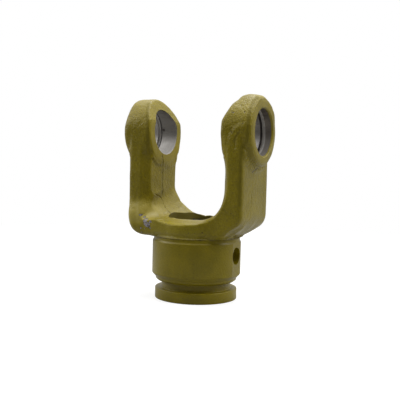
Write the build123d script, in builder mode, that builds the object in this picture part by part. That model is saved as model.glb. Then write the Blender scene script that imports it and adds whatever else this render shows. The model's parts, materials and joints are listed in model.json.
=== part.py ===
# Forged end yoke of a tube drive shaft: a hub with a profiled tube socket, a U-shaped fork
# and two bored ears for the cups of a universal joint cross. It is one forging, machined at
# the hub and in the bores, so it is one solid.
#
# Frame: millimetres, +Z along the shaft axis, from the flange's bottom face up to the ears,
# and +X along the axis of the two ear bores.

from build123d import *
from math import radians, tan
import os

# Ears and their bores
cross_bore = 27.0            # diameter, a press fit for the bearing cups of a 27 x 74.6 cross
ear_wall = 6.3               # metal around the bore
ear_gap = 45.0               # clear width between the ears' inner faces
ear_thickness = 18.5         # inner face to outer face of each ear
ear_edge = 3.0               # forged rounding of the ears' outer rims
inner_edge = 1.6             # and of their inner rims
bore_chamfer = 0.6           # at the outer mouth of each bore
bevel_rise = 5.5             # height above the bore axis at which the inner bevel starts
bevel_angle = 24.0           # of the bevel, from the ears' inner faces

# Snap ring grooves in the ear bores
ring_setback = 4.9           # outer face to the near wall of the groove
ring_width = 2.2
ring_depth = 0.8

# Fork
inner_boss = 0.9             # ears stand this far inside the arms' inner faces
arm_thickness = 13.1
throat_depth = 50.0          # fork floor to the bore axis
throat_radius = 18.6         # between the floor and the arms
corner_radius = 14.8         # outer corners of the fork
base_thickness = 11.0        # fork floor to its underside
facet_height = 4.4           # slanted facets along the throat, as seen on the front face
facet_run = 6.0              # and as seen from above
fork_edge = 2.4              # forged rounding of the fork's outer edges

# Hub
flange_diameter = 48.6
flange_height = 6.2
flange_edge = 0.5
guard_groove_diameter = 40.8  # for the guard's bearing ring, between the flange and the hub
guard_groove_width = 4.2
hub_diameter = 52.6
hub_length = 26.6            # guard groove to the fork's underside
hub_chamfer_width = 2.2      # at 45 degrees, down to the lip
lip_diameter = 48.2          # the hub ends in a lip above the guard groove
lip_height = 2.2
lip_chamfer = 1.4
across_flats = 51.6          # across the two flats that carry the pin hole
hub_taper_width = 0.9        # the hub narrows to the shoulder above it
hub_taper_height = 3.6

# Forged shoulder: the fork's floor bulges out over the hub at the front and the back
shoulder_width = 5.7         # how far the bulge stands out of the fork's faces
shoulder_gap = 0.7           # the bulge has run into those faces this far before the corners
shoulder_slope_start = 13.5  # shaft axis to where the floor starts to slope down
shoulder_drop = 3.2          # fall of that slope at the bulge's rim
rim_angle = 45.0             # bevel of the bulge's lower rim, as high as the fork's rounding

# Tube socket: a rounded triangle, for a profiled tube
lobe_count = 3
lobe_radius = 11.6
lobe_distance = 5.6          # shaft axis to the centre of each lobe's arc

# Spring pin hole across the hub
pin_diameter = 10.0
pin_rise = 16.1              # hub's lower edge to the pin axis

# Places worked out from the sizes
ear_radius = cross_bore / 2 + ear_wall
half_width = ear_radius      # the fork is as wide as its ears
ear_inner = ear_gap / 2
ear_outer = ear_inner + ear_thickness
arm_inner = ear_inner + inner_boss
arm_outer = arm_inner + arm_thickness
hub_bottom = flange_height + guard_groove_width
hub_top = hub_bottom + hub_length
floor_height = hub_top + base_thickness
bore_height = floor_height + throat_depth
bevel_start = bore_height + bevel_rise
ear_top = bore_height + ear_radius
pin_height = hub_bottom + pin_rise
shoulder_radius = half_width + shoulder_width
fork_flat = arm_outer - corner_radius   # half the fork's underside, between its corners
shoulder_reach = fork_flat - shoulder_gap
shoulder_blend = (           # radius of the arcs that run from the bulge into the faces
    (shoulder_reach**2 + half_width**2 - shoulder_radius**2)
    / (2 * (shoulder_radius - half_width)))
runout = 1.0                 # how far a cutting shape runs past what it cuts
near = 0.05                  # tolerance of the selectors that pick edges by their place


# Fork: a U-shaped bar whose arms end at the bore axis
with BuildPart() as fork:
    with BuildSketch(Plane.XZ) as outline:
        with Locations((0, hub_top)):
            Rectangle(2 * arm_outer, bore_height - hub_top, align=(Align.CENTER, Align.MIN))
        fillet(outline.vertices().group_by(Axis.Y)[0], corner_radius)
    extrude(amount=half_width, both=True)
    rim = fork.edges().filter_by(Axis.Y, reverse=True)
    fillet(rim.filter_by(lambda e: e.center().Z < bore_height - near), fork_edge)
    with BuildSketch(Plane.XZ) as throat:
        with Locations((0, floor_height)):
            Rectangle(
                2 * arm_inner, throat_depth + runout, align=(Align.CENTER, Align.MIN))
        fillet(throat.vertices().group_by(Axis.Y)[0], throat_radius)
    extrude(amount=half_width + runout, both=True, mode=Mode.SUBTRACT)
    for face in fork.faces().filter_by(Axis.Y):
        lip = face.edges().filter_by(
            lambda e: abs(e.center().X) < arm_inner + near
            and floor_height - near < e.center().Z < bore_height - near)
        chamfer(lip, length=facet_height, length2=facet_run, reference=face)

# Shoulder: fills the fork's floor out to the hub, and slopes down to its rim
with BuildPart() as shoulder:
    with BuildSketch(Plane.XY.offset(hub_top + fork_edge)) as plan:
        Rectangle(2 * fork_flat, 2 * half_width)
        Circle(shoulder_radius)
        notches = plan.vertices().filter_by(
            lambda v: abs(v.distance_to((0, 0, 0)) - shoulder_radius) < near)
        fillet(notches, shoulder_blend)
    extrude(amount=base_thickness - fork_edge)
    extrude(plan.sketch, amount=-fork_edge, taper=rim_angle)
    with BuildSketch(Plane.YZ) as slope:
        with BuildLine():
            Polyline(
                (-shoulder_radius, hub_top),
                (shoulder_radius, hub_top),
                (shoulder_radius, floor_height - shoulder_drop),
                (shoulder_slope_start, floor_height),
                (-shoulder_slope_start, floor_height),
                (-shoulder_radius, floor_height - shoulder_drop),
                close=True)
        make_face()
    extrude(amount=arm_outer, both=True, mode=Mode.INTERSECT)

# One ear, on the +X side: a thick disc about the bore axis, bevelled inside its top so that
# the cross can be swung in
with BuildPart() as ear:
    with BuildSketch(Plane.YZ.offset(ear_inner)) as disc:
        with Locations((0, bore_height)):
            Circle(ear_radius)
    extrude(amount=ear_thickness)
    fillet(ear.edges().filter_by(GeomType.CIRCLE).sort_by(Axis.X)[-1], ear_edge)
    spread = (ear_top + runout - bevel_start) * tan(radians(bevel_angle))
    with BuildSketch(Plane.XZ) as bevel:
        with BuildLine():
            Polyline(
                (0, bevel_start),
                (ear_inner, bevel_start),
                (ear_inner + spread, ear_top + runout),
                (0, ear_top + runout),
                close=True)
        make_face()
    extrude(amount=ear_radius + runout, both=True, mode=Mode.SUBTRACT)
    inner_rims = ear.edges().filter_by(
        lambda e: e.geom_type != GeomType.LINE and e.center().X < ear_outer - ear_edge - near)
    fillet(inner_rims, inner_edge)

# Hub, with its flange and guard groove, turned about the shaft axis
with BuildPart() as hub:
    with BuildSketch(Plane.XZ) as section:
        with BuildLine():
            Polyline(
                (0, 0),
                (flange_diameter / 2, 0),
                (flange_diameter / 2, flange_height),
                (guard_groove_diameter / 2, flange_height),
                (guard_groove_diameter / 2, hub_bottom),
                (lip_diameter / 2 - lip_chamfer, hub_bottom),
                (lip_diameter / 2, hub_bottom + lip_chamfer),
                (lip_diameter / 2, hub_bottom + lip_height),
                (hub_diameter / 2, hub_bottom + lip_height + hub_chamfer_width),
                (hub_diameter / 2, hub_top - hub_taper_height),
                (hub_diameter / 2 - hub_taper_width, hub_top),
                (hub_diameter / 2 - hub_taper_width - runout, hub_top + runout),
                (0, hub_top + runout),
                close=True)
        make_face()
        flange_corners = section.vertices().filter_by(
            lambda v: v.Y < hub_bottom and v.X > flange_diameter / 2 - near)
        chamfer(flange_corners, flange_edge)
    revolve(axis=Axis.Z)

with BuildPart() as yoke:
    add(fork.part)
    add(shoulder.part)
    add(hub.part)
    add(ear.part)
    add(mirror(ear.part, about=Plane.YZ))

    # Flats on the hub for the pin hole
    for side in (-1, 1):
        with BuildSketch(Plane.YZ.offset(side * across_flats / 2)) as flat:
            with Locations((0, hub_bottom)):
                Rectangle(
                    hub_diameter, hub_top - hub_bottom, align=(Align.CENTER, Align.MIN))
        extrude(amount=side * hub_diameter / 2, mode=Mode.SUBTRACT)

    # Ear bores, with their outer chamfers and snap ring grooves
    with BuildSketch(Plane.YZ) as bore:
        with Locations((0, bore_height)):
            Circle(cross_bore / 2)
    extrude(amount=ear_outer + runout, both=True, mode=Mode.SUBTRACT)
    mouths = yoke.edges().filter_by(GeomType.CIRCLE).filter_by(
        lambda e: abs(e.radius - cross_bore / 2) < near
        and abs(e.center().X) > ear_outer - near)
    chamfer(mouths, bore_chamfer)
    for side in (-1, 1):
        with BuildSketch(Plane.YZ.offset(side * (ear_outer - ring_setback))) as ring:
            with Locations((0, bore_height)):
                Circle(cross_bore / 2 + ring_depth)
        extrude(amount=-side * ring_width, mode=Mode.SUBTRACT)

    # Tube socket, through the hub and the fork floor and into the throat's rounding
    with BuildSketch() as socket:
        with PolarLocations(lobe_distance, lobe_count, start_angle=90):
            Circle(lobe_radius)
        make_hull()
    extrude(amount=floor_height + throat_radius, mode=Mode.SUBTRACT)

    # Spring pin hole
    with BuildSketch(Plane.YZ) as pin_hole:
        with Locations((0, pin_height)):
            Circle(pin_diameter / 2)
    extrude(amount=hub_diameter / 2 + runout, both=True, mode=Mode.SUBTRACT)

yoke.part.label = "yoke"
os.makedirs("parts", exist_ok=True)
export_step(yoke.part, "parts/yoke.step")
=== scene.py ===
# A forged universal joint yoke in worn olive paint: the forging is roughed out of the frame's
# own solid, then turned, bored and drilled as the real one is.
import json
import math
import bmesh
import bpy
from mathutils import Matrix, Vector

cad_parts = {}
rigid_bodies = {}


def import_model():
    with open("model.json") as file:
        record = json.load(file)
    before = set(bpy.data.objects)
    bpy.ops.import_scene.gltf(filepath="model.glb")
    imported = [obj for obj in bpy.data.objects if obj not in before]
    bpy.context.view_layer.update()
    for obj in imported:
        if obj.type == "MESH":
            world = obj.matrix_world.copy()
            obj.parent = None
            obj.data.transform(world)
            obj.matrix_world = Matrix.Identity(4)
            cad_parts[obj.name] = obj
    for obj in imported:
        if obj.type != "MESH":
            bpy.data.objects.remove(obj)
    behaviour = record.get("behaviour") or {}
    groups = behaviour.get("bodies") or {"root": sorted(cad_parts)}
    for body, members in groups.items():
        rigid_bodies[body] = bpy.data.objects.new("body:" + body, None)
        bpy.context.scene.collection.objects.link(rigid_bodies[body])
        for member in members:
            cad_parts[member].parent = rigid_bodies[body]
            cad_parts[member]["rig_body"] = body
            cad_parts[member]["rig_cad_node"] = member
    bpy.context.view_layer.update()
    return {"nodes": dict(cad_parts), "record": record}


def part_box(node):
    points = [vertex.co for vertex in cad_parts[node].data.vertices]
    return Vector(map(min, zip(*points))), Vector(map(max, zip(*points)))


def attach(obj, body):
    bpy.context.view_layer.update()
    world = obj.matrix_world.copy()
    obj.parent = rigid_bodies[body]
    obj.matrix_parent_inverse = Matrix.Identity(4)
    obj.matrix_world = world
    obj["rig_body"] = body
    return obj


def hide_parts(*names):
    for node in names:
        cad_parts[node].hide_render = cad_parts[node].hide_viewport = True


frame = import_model()
mounts = {mount["name"]: mount for mount in frame["record"]["mounts"]}
mm = 0.001
nearby = {                        # how near two places are when they count as one
    "weld": 1e-7,
    "corner": 1e-6,
    "face": 0.01 * mm,
    "square": 0.9999,             # cosine of a face that is square to an axis
}


def pick(*pieces):
    bpy.ops.object.select_all(action="DESELECT")
    for piece in pieces:
        piece.select_set(True)
    bpy.context.view_layer.objects.active = pieces[0]


def enter(piece):
    pick(piece)
    bpy.ops.object.mode_set(mode="EDIT")
    bpy.ops.mesh.select_all(action="DESELECT")


def leave():
    bpy.ops.object.mode_set(mode="OBJECT")
    return bpy.context.active_object


def newest(name):
    piece = bpy.context.active_object
    piece.name = name
    bpy.ops.object.transform_apply(location=True, rotation=True, scale=True)
    return piece


def applied(piece, kind, **settings):
    pick(piece)
    bpy.ops.object.modifier_add(type=kind)
    modifier = piece.modifiers[-1]
    for key, value in settings.items():
        setattr(modifier, key, value)
    bpy.ops.object.modifier_apply(modifier=modifier.name)


def closed(piece):
    # doubles merged and faces turned outwards
    enter(piece)
    bpy.ops.mesh.select_all(action="SELECT")
    bpy.ops.mesh.remove_doubles(threshold=nearby["weld"])
    bpy.ops.mesh.normals_make_consistent(inside=False)
    return leave()


def rod(name, radius, start, end, axis="Z", sides=128):
    # a round bar along an axis through the given centre line
    start, end = Vector(start), Vector(end)
    turn = {"X": (0, math.pi / 2, 0), "Y": (math.pi / 2, 0, 0), "Z": (0, 0, 0)}[axis]
    bpy.ops.mesh.primitive_cylinder_add(
        vertices=sides, radius=radius, depth=(end - start).length,
        location=(start + end) / 2, rotation=turn)
    return newest(name)


def block(name, low, high):
    low, high = Vector(low), Vector(high)
    bpy.ops.mesh.primitive_cube_add(size=1, location=(low + high) / 2, scale=high - low)
    return newest(name)


def joined(*pieces):
    pick(*pieces)
    bpy.ops.object.join()
    return bpy.context.active_object


def hulled(*pieces):
    piece = joined(*pieces)
    enter(piece)
    bpy.ops.mesh.select_all(action="SELECT")
    bpy.ops.mesh.convex_hull()
    return leave()


def cut(piece, tool):
    applied(piece, "BOOLEAN", operation="DIFFERENCE", object=tool, solver="MANIFOLD")
    bpy.data.objects.remove(tool)


def drawn(name, points):
    # a line of points, drawn by extruding one vertex from each to the next
    bpy.ops.mesh.primitive_plane_add(size=mm, location=points[0])
    piece = newest(name)
    enter(piece)
    mesh = bmesh.from_edit_mesh(piece.data)
    mesh.verts.ensure_lookup_table()
    for vertex in mesh.verts[1:]:
        vertex.select_set(True)
    bmesh.update_edit_mesh(piece.data)
    bpy.ops.mesh.delete(type="VERT")
    mesh = bmesh.from_edit_mesh(piece.data)
    mesh.verts.ensure_lookup_table()
    mesh.verts[0].co = points[0]
    mesh.verts[0].select_set(True)
    bmesh.update_edit_mesh(piece.data)
    for here, there in zip(points, points[1:]):
        bpy.ops.mesh.extrude_region_move(
            TRANSFORM_OT_translate={"value": Vector(there) - Vector(here)})
    return leave()


def lathe(name, profile, steps, rounds=(), edgeRound=0):
    # a ring spun about Z from a closed (radius, height) profile, with some corners rounded
    tool = drawn(name, [(radius, 0, height) for radius, height in profile])
    enter(tool)
    bpy.ops.mesh.select_all(action="SELECT")
    bpy.ops.mesh.edge_face_add()
    bpy.ops.mesh.select_all(action="DESELECT")
    if rounds:
        mesh = bmesh.from_edit_mesh(tool.data)
        for vertex in mesh.verts:
            vertex.select_set(any(
                abs(vertex.co.x - radius) < nearby["corner"]
                and abs(vertex.co.z - height) < nearby["corner"] for radius, height in rounds))
        bmesh.update_edit_mesh(tool.data)
        bpy.ops.mesh.bevel(offset=edgeRound, segments=3, affect="VERTICES")
    bpy.ops.mesh.select_all(action="SELECT")
    bpy.ops.mesh.spin(
        steps=steps, angle=math.tau, center=(0, 0, 0), axis=(0, 0, 1), use_auto_merge=True)
    leave()
    enter(tool)
    # the profile's own face is left inside the ring, and is the only one with over four corners
    mesh = bmesh.from_edit_mesh(tool.data)
    for face in mesh.faces:
        face.select_set(len(face.verts) > 4)
    bmesh.update_edit_mesh(tool.data)
    bpy.ops.mesh.delete(type="ONLY_FACE")
    leave()
    return closed(tool)


# the forging: fork, ears and shoulder, before any machining
forging = {
    "voxel": 0.6 * mm,
    "softening": 4,               # passes of smoothing that round the forged edges
    "softness": 0.5,
    "stockRadius": 27.3 * mm,     # hub before turning
    "stockBottom": -1 * mm,
    "stockTop": 36.6 * mm,
    "plugRadius": 14.8 * mm,      # metal that fills each bore until it is bored
    "earInner": 22.5 * mm,
    "earOuter": 41.0 * mm,
    "bevelStart": 5.5 * mm,       # above the bore axis
    "bevelAngle": math.radians(24),
    "waves": 0.14 * mm,
    "waveSize": 11 * mm,
    "scale": 0.045 * mm,
    "scaleSize": 2.8 * mm,
}
socket = {
    "lobeRadius": 11.6 * mm,
    "lobeDistance": 5.6 * mm,
    "lobeTurns": (90, 210, 330),
    "sides": 180,                 # of each lobe's full circle
    "low": -9 * mm,               # the broach runs from under the flange up into the throat
    "high": 66 * mm,
    "mouth": 56 * mm,             # no bare wall above this
}
floorPlug = {
    "margin": 0.4 * mm,           # wider than the socket by this all round
    "low": 30 * mm,
    "high": 58 * mm,
    "throatCentre": (4.8 * mm, 66.6 * mm),
    "throatRadius": 18.6 * mm,
    "throatRise": 20 * mm,
    "throatReach": 20 * mm,       # front and back
    "slopeStart": (0, 13.5 * mm, 48 * mm),
    "slopeNormal": (0, 3.2, 12),
}
boreRadius = mounts["cross_bores"]["dims"]["r_mm"] * mm
boreHeight = mounts["cross_bores"]["pos_m"][2]


def makePlugs():
    # fills both bores, cut back to the slope inside each ear's top
    plugs = []
    for side in (-1, 1):
        plug = rod(
            "plug", forging["plugRadius"],
            (side * forging["earInner"], 0, boreHeight),
            (side * forging["earOuter"], 0, boreHeight), axis="X")
        slope = (-side * math.cos(forging["bevelAngle"]), 0, math.sin(forging["bevelAngle"]))
        enter(plug)
        bpy.ops.mesh.select_all(action="SELECT")
        bpy.ops.mesh.bisect(
            plane_co=(side * forging["earInner"], 0, boreHeight + forging["bevelStart"]),
            plane_no=slope, use_fill=True, clear_outer=True)
        leave()
        plugs.append(closed(plug))
    return plugs


def socketLobes(name, radius, low, high):
    # the tube socket's rounded triangle, as a solid bar
    lobes = []
    for turn in socket["lobeTurns"]:
        x = socket["lobeDistance"] * math.cos(math.radians(turn))
        y = socket["lobeDistance"] * math.sin(math.radians(turn))
        lobes.append(rod(name, radius, (x, y, low), (x, y, high), sides=socket["sides"]))
    return hulled(*lobes)


def makeFloorPlug():
    # fills the socket's mouth up to the throat's floor and the slope behind it
    x, z = floorPlug["throatCentre"]
    reach = floorPlug["throatReach"]
    plug = socketLobes("floorPlug", socket["lobeRadius"] + floorPlug["margin"],
                       floorPlug["low"], floorPlug["high"])
    hollow = hulled(*[
        rod("throat", floorPlug["throatRadius"], (place, -reach, height),
            (place, reach, height), axis="Y")
        for place in (-x, x) for height in (z, z + floorPlug["throatRise"])])
    cut(plug, hollow)
    enter(plug)
    bpy.ops.mesh.select_all(action="SELECT")
    bpy.ops.mesh.bisect(
        plane_co=floorPlug["slopeStart"], plane_no=floorPlug["slopeNormal"],
        use_fill=True, clear_outer=True)
    leave()
    return closed(plug)


def makeForging():
    # a copy of the frame's solid, with the metal put back that the machining takes off
    pick(frame["nodes"]["yoke"])
    bpy.ops.object.duplicate()
    piece = bpy.context.active_object
    piece.name = "yokeForging"
    bpy.ops.object.parent_clear(type="CLEAR_KEEP_TRANSFORM")
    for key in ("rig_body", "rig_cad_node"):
        del piece[key]
    piece.data.materials.clear()
    closed(piece)
    stock = rod("stock", forging["stockRadius"], (0, 0, forging["stockBottom"]),
                (0, 0, forging["stockTop"]))
    piece = joined(piece, stock, makeFloorPlug(), *makePlugs(), *makeCheeks())
    applied(piece, "REMESH", mode="VOXEL", voxel_size=forging["voxel"])
    openThroat(piece)
    applied(piece, "REMESH", mode="VOXEL", voxel_size=forging["voxel"])
    applied(piece, "SMOOTH", factor=forging["softness"], iterations=forging["softening"])
    return piece


# the throat opens towards the front, by the draft of the die and more in its two corners.
# Each tool is a hull of discs across the throat, all in millimetres: x, y, z and radius
throat = {
    "draft": [(x, y, z, radius) for y, radius in ((-3, 18.6), (-22, 19.8))
              for x, z in ((-4.8, 66.6), (4.8, 66.6), (-4.8, 100), (4.8, 100))],
    "leftBack": [(-4.8, 10.2, 66.6, 18.6), (-11.4, -3, 60, 12)],
    "leftFront": [(-11.4, -3, 60, 12), (-15.6, -14, 55.4, 8)],
    "rightFront": [(4.8, -3, 66.6, 18.6), (11.6, -22, 59.8, 13)],
    "discThickness": 0.2,
    # the draft leaves the ears' inner bosses standing
    "bossRadius": 20.7,
    "bossStart": 12,
    "bossEnd": 30,
    # balls that touch the left arm's slanted facet and the floor, wider towards the back
    "leftMouth": [(-24.1, -21.5, 50.0, 4), (-10.9, -12, 56.3, 9),
                  (-24.1, -21.5, 72.0, 4), (-10.9, -12, 72.0, 9)],
}
# the arms' slanted inner edges run out into the ears: x, y, z of a bar's bends, its radius
cheek = {
    "bends": [(26.3, 16.9, 97), (26.4, 16.8, 91), (29.2, 15.4, 80)],
    "radius": 3,
    "rise": 0.5,                  # height of the short rod at each bend
}
# shaping: points in millimetres, the way they are pushed, the reach and the falloff
pushes = [
    ([(34, -6, 117.5), (34, 3, 117.5)], (0, 0, 1.9), 10, "SMOOTH"),           # right ear's crown
    ([(27, -8, 116), (27, 2, 116)], (0.3, 0, -0.5), 5, "SMOOTH"),
    ([(27.9, y, 112.3) for y in (-12, -6, 0)], (-0.35, 0, 0.3), 7, "SMOOTH"),
    ([(40, 10, 112.5), (40, 13.5, 109)], (0.3, 0.7, 0.4), 8, "SMOOTH"),
    ([(-40, -16, 109)], (0.3, 0.7, -0.2), 11, "SMOOTH"),                # left ear's shoulder
    ([(-24, 17.5, 84)], (0.9, 0.5, 0), 9, "SMOOTH"),                    # ears run into the arms
    ([(25, -17.5, 84)], (-0.7, -0.3, 0), 10, "SMOOTH"),
    ([(25, 17.5, 84)], (-0.6, 0.4, 0), 9, "SMOOTH"),
    ([(-20.5, 14.5, 58), (-17.6, 14.5, 54)], (0.7, 0, 0.7), 8, "SMOOTH"),     # back of the throat
    ([(-13, 14.5, 50.2)], (0.4, 0, 0.9), 8, "SMOOTH"),
    ([(x, 16.8, 47.2) for x in (-6, 0, 6, 11)], (0, 0, 0.8), 6, "SMOOTH"),
    ([(15.5, -19.6, 46.4)], (-0.4, 0, 0.8), 6, "SMOOTH"),
    ([(-32.5, y, 41.5) for y in (-17, -6, 6, 17)], (-1.6, 0, -1.5), 14, "SMOOTH"),   # left foot
    ([(x, -19.8, z) for x in (-33, -28, -23, -18) for z in (43, 47)], (1.7, -3.0, 0), 12.5,
     "SMOOTH"),
    ([(29, y, 40) for y in (-17, -6, 6, 17)], (-0.9, 0, 1.1), 11, "SMOOTH"),         # right foot
    ([(31, -18, 42.5)], (-0.9, 0, 0.9), 9, "SMOOTH"),
    # the dies met in the middle of each arm, and both its faces slope away from there
    ([(-23.4, -1.8, z) for z in range(60, 80, 3)], (0.35, 0, 0), 17, "LINEAR"),
    ([(-36.5, -1.8, z) for z in range(50, 80, 3)], (-0.45, 0, 0), 17, "LINEAR"),
    ([(23.4, -3, z) for z in range(60, 80, 3)], (-0.3, 0, 0), 17, "LINEAR"),
    ([(36.5, -5.5, z) for z in range(50, 79, 3)], (0.5, 0, 0), 17, "LINEAR"),
]
bossSkirt = {
    "radius": 21.2,
    "spread": 56,                 # degrees to each side of straight down
    "step": 6,
    "reach": 3.4,
    "pushes": [(36.8, 1.2), (23.6, -0.42), (-36.8, -1.2), (-23.6, 0.42)],   # x, and how far
}


def discs(name):
    tools = []
    half = throat["discThickness"] / 2 * mm
    for place in throat[name]:
        x, y, z, radius = (value * mm for value in place)
        tools.append(rod(name, radius, (x, y - half, z), (x, y + half, z), axis="Y"))
    return closed(hulled(*tools))


def openThroat(piece):
    draft = discs("draft")
    for side in (-1, 1):
        start, end = (side * throat[key] * mm for key in ("bossStart", "bossEnd"))
        cut(draft, rod("boss", throat["bossRadius"] * mm, (start, 0, boreHeight),
                       (end, 0, boreHeight), axis="X"))
    cut(piece, draft)
    for name in ("leftBack", "leftFront", "rightFront"):
        cut(piece, discs(name))
    balls = []
    for x, y, z, radius in throat["leftMouth"]:
        bpy.ops.mesh.primitive_uv_sphere_add(
            segments=64, ring_count=32, radius=radius * mm, location=(x * mm, y * mm, z * mm))
        balls.append(newest("leftMouth"))
    cut(piece, closed(hulled(*balls)))


def makeCheeks():
    cheeks = []
    for right in (-1, 1):
        for back in (-1, 1):
            ends = []
            for x, y, z in cheek["bends"]:
                x, y = right * x * mm, back * y * mm
                ends.append(rod("cheek", cheek["radius"] * mm, (x, y, z * mm),
                                (x, y, (z + cheek["rise"]) * mm), sides=48))
            cheeks.append(closed(hulled(*ends)))
    return cheeks


def push(piece, points, move, reach, falloff):
    enter(piece)
    mesh = bmesh.from_edit_mesh(piece.data)
    for point in points:
        nearest = min(mesh.verts, key=lambda v: (v.co - Vector(point) * mm).length_squared)
        nearest.select_set(True)
    bmesh.update_edit_mesh(piece.data)
    bpy.ops.transform.translate(
        value=Vector(move) * mm, use_proportional_edit=True,
        proportional_edit_falloff=falloff, proportional_size=reach * mm)
    leave()


def shape(piece):
    for points, move, reach, falloff in pushes:
        push(piece, points, move, reach, falloff)
    # a sloping skirt under each ear's boss, inside and outside
    spread, radius = bossSkirt["spread"], bossSkirt["radius"]
    turns = [math.radians(angle) for angle in range(-spread, spread + 1, bossSkirt["step"])]
    for x, far in bossSkirt["pushes"]:
        arc = [(x, radius * math.sin(turn), boreHeight / mm - radius * math.cos(turn))
               for turn in turns]
        push(piece, arc, (far, 0, 0), bossSkirt["reach"], "SMOOTH")


def roughen(piece):
    for name, depth, size in (
            ("forgedWaves", forging["waves"], forging["waveSize"]),
            ("forgedScale", forging["scale"], forging["scaleSize"])):
        texture = bpy.data.textures.new(name, "CLOUDS")
        texture.noise_scale = size
        texture.noise_depth = 1
        applied(piece, "DISPLACE", texture=texture, texture_coords="LOCAL",
                strength=2 * depth, mid_level=0.5)


yoke = makeForging()
print("forging roughed out:", len(yoke.data.polygons), "faces")
shape(yoke)
roughen(yoke)
print("forging shaped and roughened")

# the machining: every cut that the real forging gets
hub = {
    "steps": 240,                 # round the hub
    "edgeRound": 0.35 * mm,       # paint softens every turned edge
    "flangeRadius": 24.3 * mm,
    "flangeTop": 6.2 * mm,
    "grooveRadius": 20.4 * mm,
    "grooveTop": 10.4 * mm,
    "lipRadius": 24.1 * mm,
    "lipInner": 22.6 * mm,
    "lipStart": 11.6 * mm,
    "lipTop": 12.6 * mm,
    "bodyStart": 14.9 * mm,
    "shoulder": 34.0 * mm,        # the hub steps in here, below the fork
    "shoulderTop": 34.9 * mm,
    "shoulderRadius": 25.6 * mm,
    "neckRadius": 25.5 * mm,
    "neckTop": 36.4 * mm,
    "top": 36.9 * mm,
    "creaseRadius": 25.4 * mm,    # bottom of the crease between hub and fork
    "swing": 45 * mm,             # radius that the turning tool clears
    "toolCore": 0.5 * mm,
    "toolBottom": -4 * mm,
    "flat": 25.8 * mm,            # shaft axis to each flat of the pin hole
    "flatReach": 10 * mm,         # front and back
    "smoothAngle": math.radians(32),
}
hub["radius"] = (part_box("yoke")[1].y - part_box("yoke")[0].y) / 2
pinRadius = mounts["pin_hole"]["dims"]["r_mm"] * mm
pinHeight = mounts["pin_hole"]["pos_m"][2]
bore = {
    "steps": 192,                 # round each bore
    "chamfer": 0.6 * mm,
    "ringSetback": 4.9 * mm,      # outer face to the snap ring groove
    "ringWidth": 2.2 * mm,
    "ringDepth": 0.8 * mm,
    "start": 15 * mm,             # shaft axis to the tip of the boring bar
    "pilotRadius": 6 * mm,
    "barCore": 4 * mm,            # the bar's tool is a ring, run down the pilot hole
    "runout": 1.2 * mm,
}


def turnHub(piece):
    inside = [
        (hub["flangeRadius"], 0),
        (hub["flangeRadius"], hub["flangeTop"]),
        (hub["grooveRadius"], hub["flangeTop"]),
        (hub["grooveRadius"], hub["grooveTop"]),
        (hub["lipInner"], hub["grooveTop"]),
        (hub["lipRadius"], hub["lipStart"]),
        (hub["lipRadius"], hub["lipTop"]),
        (hub["radius"], hub["bodyStart"]),
        (hub["radius"], hub["shoulder"]),
        (hub["shoulderRadius"], hub["shoulderTop"]),
        (hub["neckRadius"], hub["neckTop"]),
        (hub["creaseRadius"], hub["top"]),
    ]
    start = [(hub["toolCore"], hub["toolBottom"]), (hub["toolCore"], 0)]
    end = [(hub["swing"], hub["top"]), (hub["swing"], hub["toolBottom"])]
    cut(piece, lathe(
        "turningTool", start + inside + end, hub["steps"], inside, hub["edgeRound"]))


def boreEar(piece, side):
    # the bore, its snap ring groove and the chamfer at its mouth are one profile
    face = forging["earOuter"]
    mouth = face + bore["runout"]
    cut(piece, rod("pilotDrill", bore["pilotRadius"], (side * bore["start"], 0, boreHeight),
                   (side * mouth, 0, boreHeight), axis="X"))
    ring = face - bore["ringSetback"]
    wall = [
        (boreRadius, bore["start"]),
        (boreRadius, ring - bore["ringWidth"]),
        (boreRadius + bore["ringDepth"], ring - bore["ringWidth"]),
        (boreRadius + bore["ringDepth"], ring),
        (boreRadius, ring),
        (boreRadius, face - bore["chamfer"]),
        (boreRadius + bore["chamfer"] + bore["runout"], mouth),
    ]
    outline = [(bore["barCore"], bore["start"])] + wall + [(bore["barCore"], mouth)]
    bar = lathe("boringBar", outline, bore["steps"])
    bar.rotation_euler = (0, side * math.pi / 2, 0)
    bar.location = (0, 0, boreHeight)
    pick(bar)
    cut(piece, newest("boringBar"))


def machine(piece):
    turnHub(piece)
    for side in (-1, 1):
        low, high = sorted((side * hub["flat"], side * hub["swing"]))
        cut(piece, block("flatMill", (low, -hub["flatReach"], hub["grooveTop"]),
                         (high, hub["flatReach"], hub["top"])))
    cut(piece, rod("pinDrill", pinRadius, (-hub["swing"], 0, pinHeight),
                   (hub["swing"], 0, pinHeight), axis="X", sides=96))
    cut(piece, socketLobes("broach", socket["lobeRadius"], socket["low"], socket["high"]))
    for side in (-1, 1):
        boreEar(piece, side)


def onFlat(face):
    away = abs(abs(face.calc_center_median().x) - hub["flat"])
    return abs(face.normal.x) > nearby["square"] and away < nearby["face"]


def markFlats(piece):
    # the flats meet the round hub at a shallow angle, so their edges are marked sharp
    enter(piece)
    mesh = bmesh.from_edit_mesh(piece.data)
    for edge in mesh.edges:
        edge.select_set(len({onFlat(face) for face in edge.link_faces}) == 2)
    bmesh.update_edit_mesh(piece.data)
    bpy.ops.mesh.mark_sharp()
    leave()


machine(yoke)
print("machined:", len(yoke.data.polygons), "faces")
pick(yoke)
bpy.ops.object.shade_smooth_by_angle(angle=hub["smoothAngle"])
markFlats(yoke)

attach(yoke, "root")
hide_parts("yoke")


def feed(tree, socket, item):
    if isinstance(item, Signal):
        tree.links.new(item.socket, socket)
    else:
        socket.default_value = item


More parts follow.
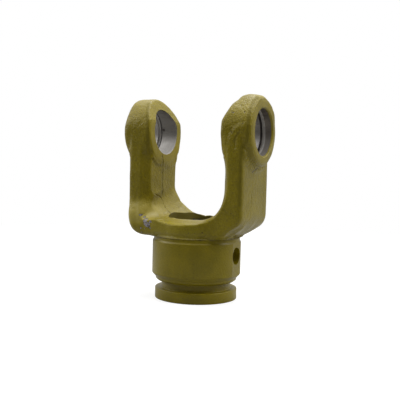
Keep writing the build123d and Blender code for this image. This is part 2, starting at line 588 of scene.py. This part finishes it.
class Signal:
    # one socket of a node tree, and a Python sum on it adds the Math nodes
    def __init__(self, tree, socket):
        self.tree, self.socket = tree, socket

    def worked(self, operation, *items):
        node = self.tree.nodes.new("ShaderNodeMath")
        node.operation = operation
        for place, item in enumerate(items):
            feed(self.tree, node.inputs[place], item)
        return Signal(self.tree, node.outputs[0])

    def __add__(self, other):
        return self.worked("ADD", self, other)

    def __radd__(self, other):
        return self.worked("ADD", other, self)

    def __sub__(self, other):
        return self.worked("SUBTRACT", self, other)

    def __rsub__(self, other):
        return self.worked("SUBTRACT", other, self)

    def __mul__(self, other):
        return self.worked("MULTIPLY", self, other)

    def __rmul__(self, other):
        return self.worked("MULTIPLY", other, self)

    def __pow__(self, other):
        return self.worked("POWER", self, other)

    def __abs__(self):
        return self.worked("ABSOLUTE", self)

    def least(self, other):
        return self.worked("MINIMUM", self, other)

    def most(self, other):
        return self.worked("MAXIMUM", self, other)


class Recipe:
    # the node tree of one finish, or of the world
    def __init__(self, owner):
        owner.use_nodes = True
        self.tree = owner.node_tree
        self.tree.nodes.clear()

    def add(self, kind, settings=None, inputs=None, output=0):
        node = self.tree.nodes.new("ShaderNode" + kind)
        for key, value in (settings or {}).items():
            setattr(node, key, value)
        for key, item in (inputs or {}).items():
            feed(self.tree, node.inputs[key], item)
        return Signal(self.tree, node.outputs[output]) if node.outputs else node

    def vector(self, operation, first, second=(0, 0, 0), output=0):
        return self.add("VectorMath", {"operation": operation}, {0: first, 1: second}, output)

    def millimetres(self):
        place = self.add("TexCoord", output=3)
        return self.vector("MULTIPLY", place, (1 / mm, 1 / mm, 1 / mm))

    def parts(self, vector):
        return [self.add("SeparateXYZ", inputs={0: vector}, output=place) for place in range(3)]

    def noise(self, vector, size, detail=2.0, roughness=0.5, colour=False):
        # cloudy noise with lumps of about size millimetres, from 0 to 1
        return self.add("TexNoise", inputs={
            "Vector": vector, "Scale": 1 / size, "Detail": detail, "Roughness": roughness},
            output=1 if colour else 0)

    def rays(self):
        # Light Path's Is Camera Ray, Is Glossy Ray and Is Transmission Ray
        return [self.add("LightPath", output=place) for place in (0, 3, 6)]

    def rise(self, value, low, high):
        # 0 below low, 1 above high, smooth between
        return self.add("MapRange", {"interpolation_type": "SMOOTHSTEP"}, {
            "Value": value, "From Min": low, "From Max": high})

    def blend(self, share, first, second):
        return self.add("Mix", {"data_type": "RGBA"}, {0: share, 6: first, 7: second}, output=2)

    def jogged(self, vector, size, reach):
        # the same place moved about by noise, which frays the edge of any mask
        drift = self.vector("SUBTRACT", self.noise(vector, size, colour=True), (0.5, 0.5, 0.5))
        return self.vector("ADD", vector, self.vector("MULTIPLY", drift, (2 * reach,) * 3))

    def spots(self, vector, places, squeeze=(1, 1, 1)):
        # 1 inside any of the (x, y, z, radius) spots
        mask = None
        vector = self.vector("MULTIPLY", vector, squeeze)
        for x, y, z, radius in places:
            middle = (x * squeeze[0], y * squeeze[1], z * squeeze[2])
            away = self.vector("DISTANCE", vector, middle, output=1)
            spot = 1 - self.rise(away, 0.6 * radius, 1.25 * radius)
            mask = spot if mask is None else mask.most(spot)
        return mask

    def nearPath(self, vector, points, squeeze=(1, 1, 1)):
        # distance in millimetres to a line through the points, less across a squeezed axis
        nearest = None
        vector = self.vector("MULTIPLY", vector, squeeze)
        for start, end in zip(points, points[1:]):
            start, end = Vector(start) * Vector(squeeze), Vector(end) * Vector(squeeze)
            run = end - start
            offset = self.vector("SUBTRACT", vector, tuple(start))
            along = self.vector("DOT_PRODUCT", offset, tuple(run / run.length_squared), output=1)
            foot = self.add("VectorMath", {"operation": "SCALE"},
                            {0: tuple(run), 3: along.most(0.0).least(1.0)})
            away = self.vector("DISTANCE", offset, foot, output=1)
            nearest = away if nearest is None else nearest.least(away)
        return nearest

    def line(self, vector, points, width, squeeze=(1, 1, 1)):
        # 1 on the path, fading to 0 at half its width
        return 1 - self.rise(self.nearPath(vector, points, squeeze), 0.12 * width, 0.5 * width)

    def shaded(self, colour, roughness, height, **others):
        # the shader and its output, with the height in millimetres
        bump = self.add("Bump", inputs={"Strength": 1.0, "Distance": mm, "Height": height})
        inputs = {"Base Color": colour, "Roughness": roughness, "Normal": bump}
        for key, value in others.items():
            inputs[key.replace("_", " ")] = value
        shader = self.add("BsdfPrincipled", inputs=inputs)
        self.add("OutputMaterial", inputs={"Surface": shader})


paintLook = {
    "deep": (0.215, 0.168, 0.0028, 1),     # olive, greener and yellower
    "warm": (0.255, 0.198, 0.0032, 1),
    # pale is also the painted light on the shoulder's bulge
    "pale": (0.340, 0.280, 0.0120, 1),     # thin paint on forged edges
    # darker olive, for painted shade
    "thick": (0.165, 0.130, 0.0015, 1),
    "leftFootHighlight": (0.410, 0.335, 0.0600, 1),     # painted highlight on the left foot and in its corner
    # dark brown: dirt, grain and chip rims, and also painted shade in creases and hollows
    "grimeAndShade": (0.060, 0.044, 0.0060, 1),
    "steel": (0.430, 0.400, 0.420, 1),
    "darkSteel": (0.150, 0.130, 0.130, 1),
    "paleGrain": 0.36,                     # share of pale grain on the forged skin
    "paleGrainLost": 0.16,                 # less of it where the yoke was turned or faced
    "darkGrain": 0.34,
    "darkGrainLost": 0.12,
    "roughness": 0.27,
    "specular": 0.28,
}
relief = {                        # millimetres that each thing stands out, or in where negative
    "peel": 0.20,
    "peelLost": 0.10,             # less of it where the yoke was turned or faced
    "forged": 0.45,
    "forgedLost": 0.35,
    "fine": 0.05,
    "lap": -0.3,
    "specks": -0.2,
    "undercut": -0.25,
    "comma": -0.15,
    "fold": -0.22,
    "ridge": 0.38,
    "parting": -0.15,
    "steel": -0.14,
    "step": -0.15,
}
fromFront = (1, 0.2, 1)           # a mark's depth counts for less than its place
fromSide = (0.3, 1, 1)
marks = {
    # pits and specks: place and radius in millimetres
    "specks": [
        (14.1, -21.4, 40.9, 0.4), (7.1, -24.5, 40.4, 0.35), (10.3, -23.3, 40.5, 0.3),
        (-7.9, -24.2, 44.8, 0.35), (2.7, -23.4, 45.9, 0.4), (-22.5, -19.0, 36.9, 0.4),
        (28.9, -16.8, 107.8, 0.5), (29.4, -16.8, 108.0, 0.45), (35.8, -16.8, 108.0, 0.5),
        (36.0, -19.4, 101.7, 0.35),
        (30.5, -19.8, 52.6, 0.35), (-26.9, 19.7, 60.2, 0.5), (30.1, 19.7, 51.5, 0.45),
        (-36.9, 19.8, 92.0, 0.4), (24.0, 19.8, 92.0, 0.5), (-4.0, 26.0, 22.0, 0.35),
        (12.0, 23.4, 29.5, 0.3), (-9.0, -25.0, 14.4, 0.3), (4.0, -24.3, 3.1, 0.3),
    ],
    # paint chipped off down to the steel
    "chips": [
        (-22.2, -22, 45.0, 1.9), (-20.7, -22, 43.4, 1.8), (-19.2, -22, 45.2, 0.9),
        (-19.4, -22, 41.7, 0.6), (-26.0, -22, 48.9, 0.8), (-23.9, -22, 47.8, 0.8),
        (-25.6, -22, 41.2, 0.55), (-25.4, -22, 38.6, 0.45), (-22.9, -22, 41.0, 0.4),
        (-41.0, -12.5, 102.0, 0.7), (33.6, 19.6, 44.6, 1.1), (-37.8, 18.6, 106.0, 0.7),
    ],
    # the rest are lines, by their points and width in millimetres, and how far each axis counts.
    # First a lap in the forging, down the inside of the left arm
    "lap": {
        "points": [(-22.6, -4.9, 83.5), (-22.8, -3.4, 79.3), (-23.2, -2.2, 72.0),
                   (-23.1, -2.6, 66.0), (-23.1, -2.3, 60.2)],
        "width": 2.1, "squeeze": fromSide},
    "lapBranch": {
        "points": [(-22.9, -11.9, 60.9), (-23.2, -6.5, 59.5), (-23.1, -3.7, 58.2),
                   (-22.5, -2.8, 56.1), (-21.5, -2.9, 53.9), (-19.3, -3.0, 51.0),
                   (-17.2, -3.1, 49.5)],
        "width": 1.2, "squeeze": (0.4, 1, 1)},
    # the lower rim of the left ear's inner boss, darkened as a painted shadow under its step
    "bossStep": {
        "points": [(-23.5, -13.5, 81.5), (-23.4, -10.0, 78.3), (-23.1, -7.0, 77.7),
                   (-22.9, -3.7, 77.4), (-22.9, -0.1, 76.6), (-23.0, 3.2, 76.0)],
        "width": 3.0, "squeeze": (0.5, 1, 1)},
    # painted shade along the forged edges and on the slanted facet
    "rightEdge": {
        "points": [(39.1, -7.2, 116.9), (38.4, -11.3, 114.4), (38.6, -15.1, 110.5),
                   (38.6, -17.6, 106.8), (38.9, -19.3, 101.3), (38.9, -19.5, 96.1),
                   (38.0, -18.9, 91.9), (35.9, -19, 89.0), (35.3, -19.5, 85.4),
                   (35.4, -19.4, 76.6), (35.6, -19.3, 57.5)],
        "width": 3.2},
    "leftEdge": {
        "points": [(-28.7, -10.7, 114.6), (-27.2, -14.4, 111.4), (-24.6, -18.7, 104.1),
                   (-23.9, -19.6, 97.1), (-24.3, -18.6, 90.1), (-24.4, -17.5, 86.7)],
        "width": 3.2},
    "facet": {
        "points": [(-25.4, -17.2, 85.5), (-25.6, -16.8, 78), (-25.6, -16.8, 63)],
        "width": 8.0, "squeeze": (0.7, 1, 1)},
    # wrinkles on the right ear's front; the fold and the comma are darkened as painted shade
    "ridge": {
        "points": [(34.9, -19.8, 99.6), (32.5, -19.8, 97.9), (30.8, -19.8, 95.2),
                   (29.5, -19.8, 92.5)],
        "width": 6.5, "squeeze": fromFront},
    "fold": {
        "points": [(34.0, -19.8, 96.7), (32.2, -19.8, 94.4), (31.6, -19.8, 91.9),
                   (31.6, -19.8, 88.4)],
        "width": 2.0, "squeeze": fromFront},
    "comma": {
        "points": [(28.6, -19.8, 99.0), (29.1, -19.8, 97.9), (29.8, -19.8, 96.7)],
        "width": 0.9, "squeeze": fromFront},
    # the right arm's outside: the dies' parting line, and a nick under the boss, darkened as
    # painted shade
    "parting": {
        "points": [(37, -4.9, 76.6), (37, -5.6, 70.8), (37, -6.4, 64.4), (37, -7.3, 57.0),
                   (36.2, -7.6, 49.0)],
        "width": 1.6, "squeeze": fromSide},
    "undercut": {
        "points": [(37.5, -6.6, 75.2), (37.5, -4.9, 76.5), (37.5, -1.6, 77.4)],
        "width": 1.3, "squeeze": fromSide},
    # rubbed through on the hub's left
    "scuff": {
        "points": [(-20.6, -16.3, 33.0), (-20.4, -16.6, 27.0), (-20.3, -16.8, 21.5)],
        "width": 3.4, "squeeze": (1, 0.6, 1)},
}
# a wider band along the lap, darkened as painted shade in the hollow beside it
marks["lapBank"] = dict(marks["lap"], width=4.5)


def paintYoke():
    finish = bpy.data.materials.new("olivePaint")
    recipe = Recipe(finish)
    place = recipe.millimetres()
    x, y, z = recipe.parts(place)
    hubTop, grooveTop = hub["top"] / mm, hub["grooveTop"] / mm
    earMiddle = (forging["earInner"] + forging["earOuter"]) / 2 / mm
    # the hub was turned and the ears faced, all else is as forged
    turned = 1 - recipe.rise(z, hubTop - 0.3, hubTop + 0.3)
    faced = recipe.rise(abs(abs(x) - earMiddle), 8.7, 9.0) * recipe.rise(z, 78, 80)
    turned = turned.most(faced)

    # olive in broad clouds, small patches and grain
    broad = recipe.noise(place, 14, detail=3)
    patches = recipe.noise(place, 3.4, detail=4, roughness=0.6)
    fine = recipe.noise(place, 0.85, detail=3, roughness=0.6)
    colour = recipe.blend(recipe.rise(broad, 0.36, 0.64), paintLook["deep"], paintLook["warm"])
    colour = recipe.blend(recipe.rise(patches, 0.55, 0.8) * 0.2, colour, paintLook["pale"])
    paleGrain = paintLook["paleGrain"] - paintLook["paleGrainLost"] * turned
    darkGrain = paintLook["darkGrain"] - paintLook["darkGrainLost"] * turned
    colour = recipe.blend(recipe.rise(fine, 0.52, 0.70) * paleGrain, colour, paintLook["pale"])
    colour = recipe.blend(recipe.rise(fine, 0.48, 0.28) * darkGrain, colour, paintLook["grimeAndShade"])

    # painted shade in the crease under the fork, in the hub's groove, in the nick under the right
    # boss and in the wrinkles' fold and comma; dirt and painted shade in the lap; dirt in the pits
    frayed = recipe.jogged(place, 1.2, 0.4)
    crease = 1 - recipe.rise(abs(z - hubTop), 0.1, 0.9)
    radius = (x * x + y * y) ** 0.5
    creaseShade = crease * recipe.rise(recipe.noise(place, 5.0), 0.3, 0.6) * 0.5
    groove = (1 - recipe.rise(radius, 21.0, 22.8)) * (1 - recipe.rise(z, grooveTop, 11.2)) * 0.12
    leftSide = recipe.rise(x, -14.5, -17.5) * recipe.rise(x, -30, -28)
    wavy = recipe.jogged(frayed, 3.5, 0.9)
    bent = recipe.jogged(place, 3, 0.5)
    # the lap's dark line is partly dirt in the crack, partly painted shade
    lap = recipe.line(wavy, **marks["lap"])
    lapBank = recipe.line(wavy, **marks["lapBank"]) * leftSide
    lap = lap.most(recipe.line(frayed, **marks["lapBranch"])) * leftSide
    lap = lap * (0.35 + 0.65 * recipe.rise(recipe.noise(place, 3), 0.35, 0.6))
    step = recipe.line(bent, **marks["bossStep"]) * leftSide
    undercut = recipe.line(frayed, **marks["undercut"])
    specks = recipe.spots(frayed, marks["specks"], (1, 0.4, 1))
    comma = recipe.line(frayed, **marks["comma"])
    fold = recipe.line(bent, **marks["fold"])
    dark = creaseShade.most(groove).most(lap * 0.7).most(undercut * 0.75).most(specks * 0.8)
    colour = recipe.blend(dark.most(comma * 0.5).most(fold * 0.16), colour, paintLook["grimeAndShade"])

    # painted light on the shoulder's bulge, painted shade on the edges, the facet, the boss's rim
    # and beside the lap, a painted highlight on the left foot
    bulge = recipe.rise(y, -20, -24) * recipe.rise(z, hubTop - 0.3, hubTop + 0.7)
    colour = recipe.blend(bulge * 0.35, colour, paintLook["pale"])
    ragged = z + 5 * patches
    # a painted highlight over the left foot's corner, with a ragged edge
    leftFootHighlight = recipe.rise(ragged, 62.5, 55) * recipe.rise(z, 42, 46.5) * recipe.rise(x, -17, -23)
    leftFootHighlight = leftFootHighlight * recipe.rise(y, 2, -10) * recipe.rise(x, -42, -34)
    edges = recipe.line(place, **marks["rightEdge"]).most(recipe.line(place, **marks["leftEdge"]))
    facet = recipe.line(place, **marks["facet"])
    thick = (edges * 0.8).most(facet * 0.6).most(step * 0.8).most(lapBank * 0.6)
    colour = recipe.blend(thick, colour, paintLook["thick"])
    colour = recipe.blend(leftFootHighlight, colour, paintLook["leftFootHighlight"])

    # chipped places show scraped steel inside a dark broken rim
    shattered = recipe.jogged(recipe.jogged(place, 2.4, 0.7), 0.8, 0.5)
    chipped = recipe.spots(shattered, marks["chips"], (1, 0.3, 1))
    scuff = recipe.line(shattered, **marks["scuff"])
    chipped = (chipped * recipe.rise(recipe.noise(place, 1.0, detail=3), 0.36, 0.5)).most(
        scuff * recipe.rise(recipe.noise(place, 1.8, detail=4), 0.50, 0.58) * 0.6)
    rim = recipe.rise(chipped, 0.05, 0.3) * (1 - recipe.rise(chipped, 0.35, 0.7))
    steel = recipe.rise(chipped, 0.35, 0.7)
    scraped = recipe.rise(recipe.noise(place, 0.7, detail=3), 0.38, 0.6)
    colour = recipe.blend(rim * 0.8, colour, paintLook["grimeAndShade"])
    colour = recipe.blend(
        steel, colour, recipe.blend(scraped, paintLook["darkSteel"], paintLook["steel"]))

    ridge = recipe.line(recipe.jogged(place, 4, 0.5), **marks["ridge"])
    parting = recipe.line(bent, **marks["parting"])
    peel = recipe.noise(place, 0.8, detail=2)
    forged = recipe.noise(place, 2.6, detail=4, roughness=0.6)
    height = (peel * (relief["peel"] - relief["peelLost"] * turned)
              + forged * (relief["forged"] - relief["forgedLost"] * turned)
              + fine * relief["fine"] + lap * relief["lap"] + specks * relief["specks"]
              + undercut * relief["undercut"] + comma * relief["comma"] + fold * relief["fold"]
              + ridge * relief["ridge"] + parting * relief["parting"]
              + steel * relief["steel"] + step * relief["step"])
    roughness = (paintLook["roughness"] + 0.10 * patches + 0.05 * fine + 0.2 * rim
                 + 0.4 * lap + 0.25 * edges)
    recipe.shaded(colour, roughness, height, Specular_IOR_Level=paintLook["specular"])
    return finish


steelLook = {
    "bright": (0.50, 0.48, 0.45, 1),
    "dull": (0.165, 0.153, 0.138, 1),
    # darker steel, for painted shade in the right bore's outer part
    "outerShade": (0.10, 0.083, 0.066, 1),
    # near black, for rust and for painted shadow
    "rustAndShadowTone": (0.014, 0.008, 0.005, 1),
    "socketDull": (0.070, 0.062, 0.052, 1),
    "socketBright": (0.105, 0.100, 0.094, 1),
    "stains": [(-32.2, 13.4, 100.0, 1.0)],
}


def boreSteel():
    finish = bpy.data.materials.new("boredSteel")
    recipe = Recipe(finish)
    place = recipe.millimetres()
    x, _, z = recipe.parts(place)
    ringNear = bore["ringSetback"] / mm
    ringFar = ringNear + bore["ringWidth"] / mm
    # turning marks run round the bore, so they change fast along X and slowly round it
    rings = recipe.noise(recipe.vector("MULTIPLY", place, (3.2, 0.07, 0.07)), 1.0, detail=3)
    blotches = recipe.noise(place, 6.0, detail=4, roughness=0.55)
    depth = forging["earOuter"] / mm - abs(x)
    # painted reflection: brightest at the bottom of each bore
    low = recipe.rise(z + 9 * blotches, 108, 90)
    colour = recipe.blend(low, steelLook["dull"], steelLook["bright"])
    colour = recipe.blend((1 - recipe.rise(rings, 0.35, 0.5)) * 0.3, colour, steelLook["dull"])
    # painted shade: darker in the right bore's outer part
    outerShade = (1 - recipe.rise(depth, 4.0, 5.2)) * recipe.rise(x, 0, 1) * (0.55 + 0.4 * rings)
    colour = recipe.blend(outerShade, colour, steelLook["outerShade"])
    # painted highlight: the ring groove's floor is made bright, and so is the left bore outside it,
    # more so lower down
    beforeRing = 1 - recipe.rise(depth, ringFar - 0.2, ringFar - 0.1)
    floor = recipe.rise(depth, ringNear, ringNear + 0.1) * beforeRing
    outer = beforeRing * recipe.rise(x, 0, -1)
    bright = (floor * 0.7).most(outer * (0.35 + 0.5 * recipe.rise(z, 100, 90)))
    colour = recipe.blend(bright, colour, steelLook["bright"])
    # rust in freckles and in one stain, and a painted shadow in a line behind the groove
    freckles = recipe.rise(recipe.noise(place, 1.3, detail=4, roughness=0.7), 0.63, 0.74)
    ring = 1 - recipe.rise(abs(depth - ringFar - 0.3), 0.4, 0.6)
    stain = recipe.spots(recipe.jogged(place, 1.0, 0.5), steelLook["stains"])
    rustAndShadow = (freckles * 0.25).most(ring).most(stain * 0.9)
    colour = recipe.blend(rustAndShadow, colour, steelLook["rustAndShadowTone"])
    # painted highlight on the groove's outer wall
    wall = 1 - recipe.rise(abs(depth - ringNear), 0.06, 0.12)
    colour = recipe.blend(wall, colour, steelLook["bright"])
    # paint sprayed into the outer mouth
    mouth = 1 - recipe.rise(depth + 0.8 * blotches, 1.3, 1.7)
    colour = recipe.blend(mouth, colour, paintLook["deep"])
    height = rings * 0.03 + recipe.noise(place, 1.6, detail=3) * 0.03
    roughness = 0.34 + 0.16 * blotches + 0.3 * rustAndShadow
    metal = 0.45 * (1 - rustAndShadow) * (1 - wall.most(floor)) * (1 - mouth)
    recipe.shaded(colour, roughness, height, Metallic=metal)
    return finish


def socketSteel():
    finish = bpy.data.materials.new("socketSteel")
    recipe = Recipe(finish)
    place = recipe.millimetres()
    z = recipe.parts(place)[2]
    # broaching marks run up and down
    streaks = recipe.noise(recipe.vector("MULTIPLY", place, (1.0, 1.0, 0.08)), 1.0, detail=3)
    blotches = recipe.noise(place, 5.0, detail=4)
    colour = recipe.blend(
        recipe.rise(streaks, 0.35, 0.7), steelLook["socketDull"], steelLook["socketBright"])
    # paint has run down into the socket's mouth
    mouth = recipe.rise(z + 3 * blotches, 45.6, 47.2)
    colour = recipe.blend(mouth * 0.85, colour, paintLook["deep"])
    recipe.shaded(colour, 0.5 + 0.2 * blotches, streaks * 0.02, Metallic=0.6 * (1 - mouth))
    return finish


bare = {                          # how the bare steel's faces are told from the painted ones
    "slack": 0.1 * mm,
    "boreSlack": 0.02 * mm,
    "boreInset": 1 * mm,
    "boreTilt": 0.3,
    "socketTilt": 0.05,
    "socketInwards": -0.5,
}


def inBore(face):
    away = math.hypot(face.center.y, face.center.z - boreHeight)
    depth = forging["earOuter"] - abs(face.center.x)
    fromRing = depth - bore["ringSetback"]
    ringWall = -bare["slack"] < fromRing < bore["ringWidth"] + bare["slack"]
    return (away < boreRadius + bore["ringDepth"] + bare["boreSlack"]
            and 0.9 * bore["chamfer"] < depth
            and abs(face.center.x) > forging["earInner"] - bare["boreInset"]
            and (abs(face.normal.x) < bare["boreTilt"] or ringWall))


def inSocket(face):
    x, y, z = face.center
    away = math.hypot(x, y)
    reach = socket["lobeDistance"] + socket["lobeRadius"] + bare["slack"]
    inwards = (face.normal.x * x + face.normal.y * y) / away
    return (away < reach and z < socket["mouth"] and abs(face.normal.z) < bare["socketTilt"]
            and inwards < bare["socketInwards"])


yoke.data.materials.clear()
for finish in (paintYoke(), boreSteel(), socketSteel()):
    yoke.data.materials.append(finish)
for face in yoke.data.polygons:
    face.material_index = 1 if inBore(face) else 2 if inSocket(face) else 0
print("painted")

camera = {
    "azimuth": 0.4671,            # radians, as the next two
    "elevation": 0.0555,
    "roll": 0.0241,
    "distance": 394.12 * mm,
    "target": (1.416 * mm, 0, 57.913 * mm),
    "lens": 59.805,
    "nearest": 0.01,
}
studio = {
    "floorSize": 0.45,
    "floorTone": 0.32,            # what the floor gives back as light
    "floorGlow": 0.78,            # and what it adds where it is seen, so that it is white
    "floorMirrored": 0.3,         # share of that glow in reflections
    "dark": 0.168,                # the room behind the camera
    "bright": 1.0,                # the white tent over and behind the yoke
    "tentSide": (-0.38, 0.76, 0.50),
    "gleam": 0.50,                # what reflections show of the tent, low down
    "gleamOverhead": 1.3,         # and what is added overhead
    "lamps": [
        # place, aimed at, width, watts
        ((0.05, 0.10, 0.62), (0, 0, 0.06), 0.45, 3.1),      # softbox overhead
        ((-0.50, -0.14, 0.34), (0, 0, 0.07), 0.30, 0.8),    # weaker ones from both sides
        ((0.50, 0.22, 0.44), (0, 0, 0.07), 0.30, 1.1),
    ],
}


def placeCamera():
    az, el, roll = camera["azimuth"], camera["elevation"], camera["roll"]
    back = Vector((math.sin(az) * math.cos(el), -math.cos(az) * math.cos(el), math.sin(el)))
    right = Vector((math.cos(az), math.sin(az), 0))
    up = back.cross(right)
    tilted = right * math.cos(roll) + up * math.sin(roll)
    upright = -right * math.sin(roll) + up * math.cos(roll)
    bpy.ops.object.camera_add(location=Vector(camera["target"]) + back * camera["distance"])
    viewer = bpy.context.active_object
    viewer.data.lens = camera["lens"]
    viewer.data.clip_start = camera["nearest"]
    viewer.rotation_euler = Matrix((tilted, upright, back)).transposed().to_euler()
    bpy.context.scene.camera = viewer


def layFloor():
    bpy.ops.mesh.primitive_circle_add(
        vertices=96, radius=studio["floorSize"], fill_type="NGON", location=(0, 0, 0))
    floor = newest("floor")
    finish = bpy.data.materials.new("whiteFloor")
    recipe = Recipe(finish)
    seen, mirrored, through = recipe.rays()
    matt = recipe.add("BsdfDiffuse", inputs={"Color": (studio["floorTone"],) * 3 + (1,)})
    shown = seen.most(mirrored * studio["floorMirrored"]).most(through)
    glow = recipe.add("Emission", inputs={"Strength": shown * studio["floorGlow"]})
    both = recipe.add("AddShader", inputs={0: matt, 1: glow})
    recipe.add("OutputMaterial", inputs={"Surface": both})
    floor.data.materials.append(finish)


def lightStudio():
    world = bpy.data.worlds.new("studio")
    bpy.context.scene.world = world
    recipe = Recipe(world)
    seen, mirrored, through = recipe.rays()
    x, y, z = recipe.parts(recipe.add("TexCoord", output=0))
    across, along, up = studio["tentSide"]
    towards = y * along + x * across + z * up
    tent = studio["dark"] + (studio["bright"] - studio["dark"]) * recipe.rise(towards, -0.35, 0.6)
    # mirrors show the white background too, and the dark room only right behind the camera
    gleam = studio["gleam"] + studio["gleamOverhead"] * recipe.rise(z, 0.1, 0.9)
    gleam = gleam * recipe.rise(towards, -0.5, 0.05)
    shown = seen.most(through).most(mirrored * gleam)
    light = tent * (1 - mirrored)
    shader = recipe.add("Background", inputs={"Color": (1, 1, 1, 1), "Strength": light.most(shown)})
    recipe.add("OutputWorld", inputs={"Surface": shader})


def hangLamps():
    for place, aim, width, watts in studio["lamps"]:
        bpy.ops.object.light_add(type="AREA", location=place)
        lamp = bpy.context.active_object
        lamp.data.size = width
        lamp.data.energy = watts
        lamp.rotation_euler = (Vector(aim) - Vector(place)).to_track_quat("-Z", "Y").to_euler()


placeCamera()
layFloor()
lightStudio()
hangLamps()
bpy.context.scene.view_settings.view_transform = "Standard"
print("studio ready")
